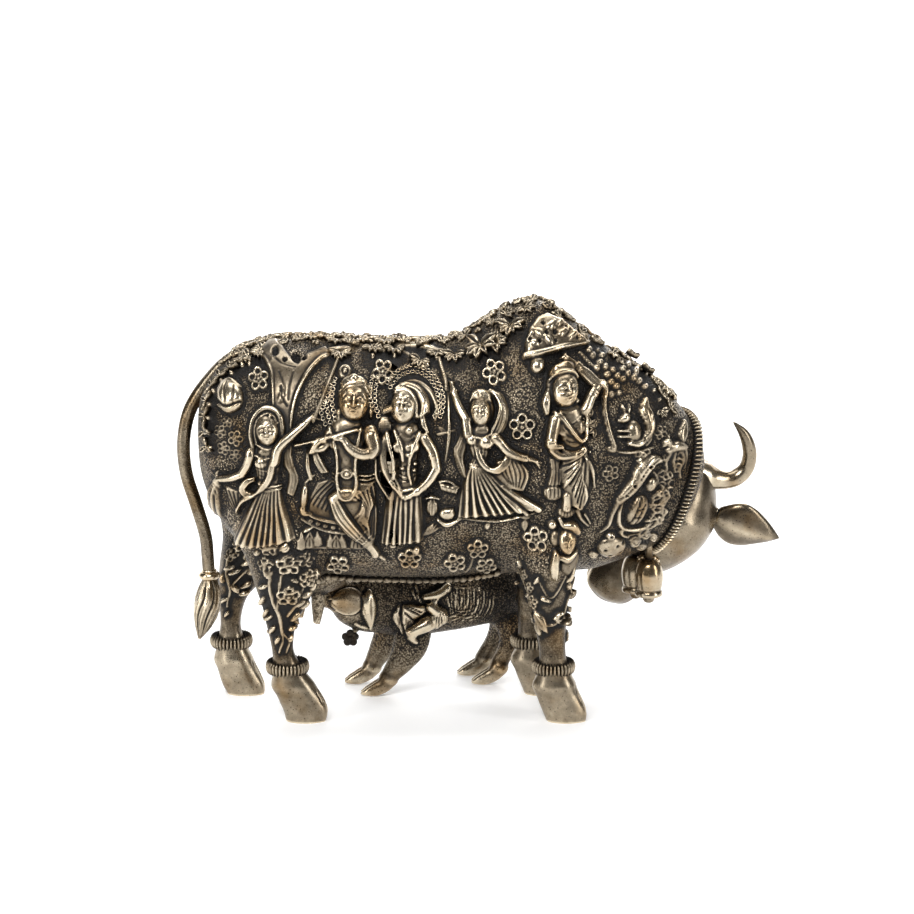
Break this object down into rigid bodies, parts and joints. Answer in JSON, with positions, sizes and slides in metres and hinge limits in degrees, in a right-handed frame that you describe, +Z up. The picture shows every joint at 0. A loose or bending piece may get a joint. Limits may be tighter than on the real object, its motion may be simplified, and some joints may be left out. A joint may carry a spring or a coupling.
{
  "type": "cast brass cow and calf figurine",
  "caption": "Cast brass cow turning its head back to a suckling calf, its body covered with relief of flute player, dancers, tree and flowers.",
  "frame": {"origin": "on the ground, in the middle of the whole group's box", "axes": "+X towards the cow's chest, +Z up, and the side with the main figures faces -Y"},
  "size_m": [0.3352, 0.13, 0.2283],
  "materials": {
    "antique_brass": "polished high spots over a dark patina"
  },
  "bodies": {
    "root": {"cow": "antique_brass", "calf": "antique_brass"}
  },
  "joints": []
}
